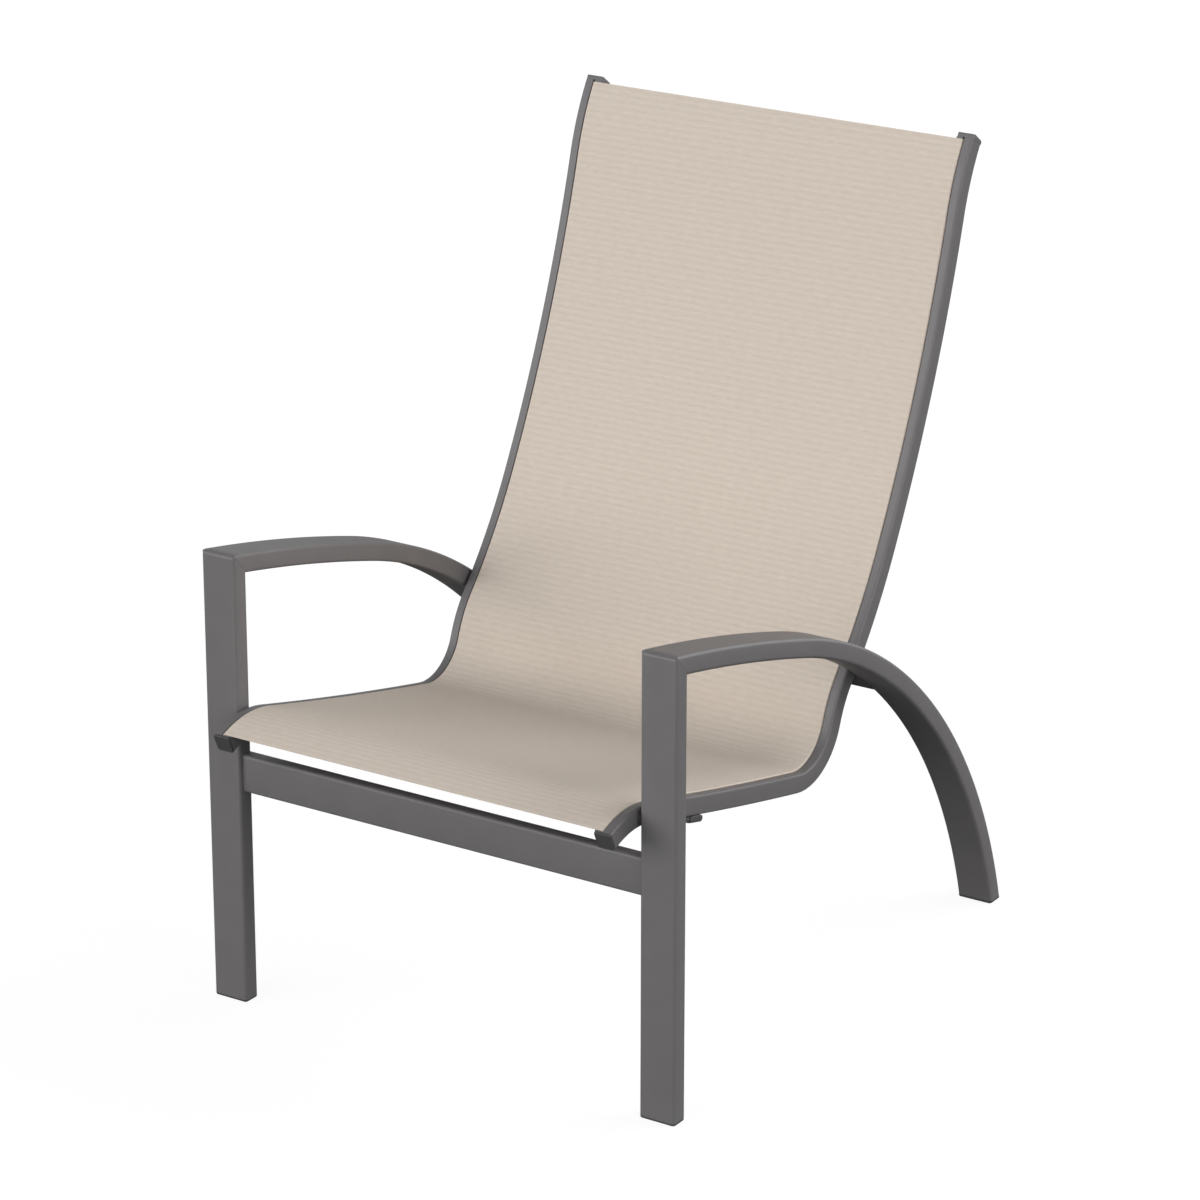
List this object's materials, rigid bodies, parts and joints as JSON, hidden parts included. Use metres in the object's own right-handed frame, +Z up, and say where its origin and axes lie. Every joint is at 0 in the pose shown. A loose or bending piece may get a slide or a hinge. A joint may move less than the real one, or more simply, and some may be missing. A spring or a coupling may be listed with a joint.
{
  "type": "patio_chair",
  "caption": "High-back sling patio chair with a mesh seat strained between two bent rails, bowed arms that run down into the rear legs, and a tubular aluminium frame",
  "frame": {"origin": "on the floor, under the middle of the chair's bounding box", "axes": "+X towards the sitter's left and across the chair's mirror plane, +Y from the front edge of the seat to the back, +Z up, the longest extent"},
  "size_m": [0.6946, 0.8842, 1.0595],
  "materials": {
    "frame": "powder coated, satin, dark warm grey",
    "cloth": "vinyl-coated polyester mesh, sand, fine cross ribs",
    "spline": "extruded rod, light grey",
    "plastic": "moulded, fine matte grain, dark grey",
    "steel": "zinc plated"
  },
  "bodies": {
    "root": {"front_leg_left": "frame", "front_leg_right": "frame", "arm_left": "frame", "arm_right": "frame", "front_crossbar": "frame", "rear_crossbar": "frame", "sling_rail_left": "frame", "sling_rail_right": "frame", "seat_spreader_bar": "frame", "back_spreader_bar": "frame", "sling_fabric": "cloth", "spline_rod_left": "spline", "spline_rod_right": "spline", "foot_glide_front_left": "plastic", "foot_glide_front_right": "plastic", "foot_glide_rear_left": "plastic", "foot_glide_rear_right": "plastic", "rail_front_cap_left": "plastic", "rail_front_cap_right": "plastic", "rail_top_cap_left": "plastic", "rail_top_cap_right": "plastic", "seat_spreader_plug_left": "plastic", "seat_spreader_plug_right": "plastic", "back_spreader_socket_left": "plastic", "back_spreader_socket_right": "plastic", "rail_spacer_front_left": "plastic", "rail_spacer_front_right": "plastic", "rail_spacer_rear_left": "plastic", "rail_spacer_rear_right": "plastic", "rail_bolt_front_left": "steel", "rail_bolt_front_right": "steel", "rail_bolt_rear_left": "steel", "rail_bolt_rear_right": "steel", "threaded_insert_front_left": "steel", "threaded_insert_front_right": "steel", "threaded_insert_rear_left": "steel", "threaded_insert_rear_right": "steel", "seat_spreader_screw_left": "steel", "seat_spreader_screw_right": "steel", "back_spreader_screw_left": "steel", "back_spreader_screw_right": "steel"}
  },
  "joints": []
}
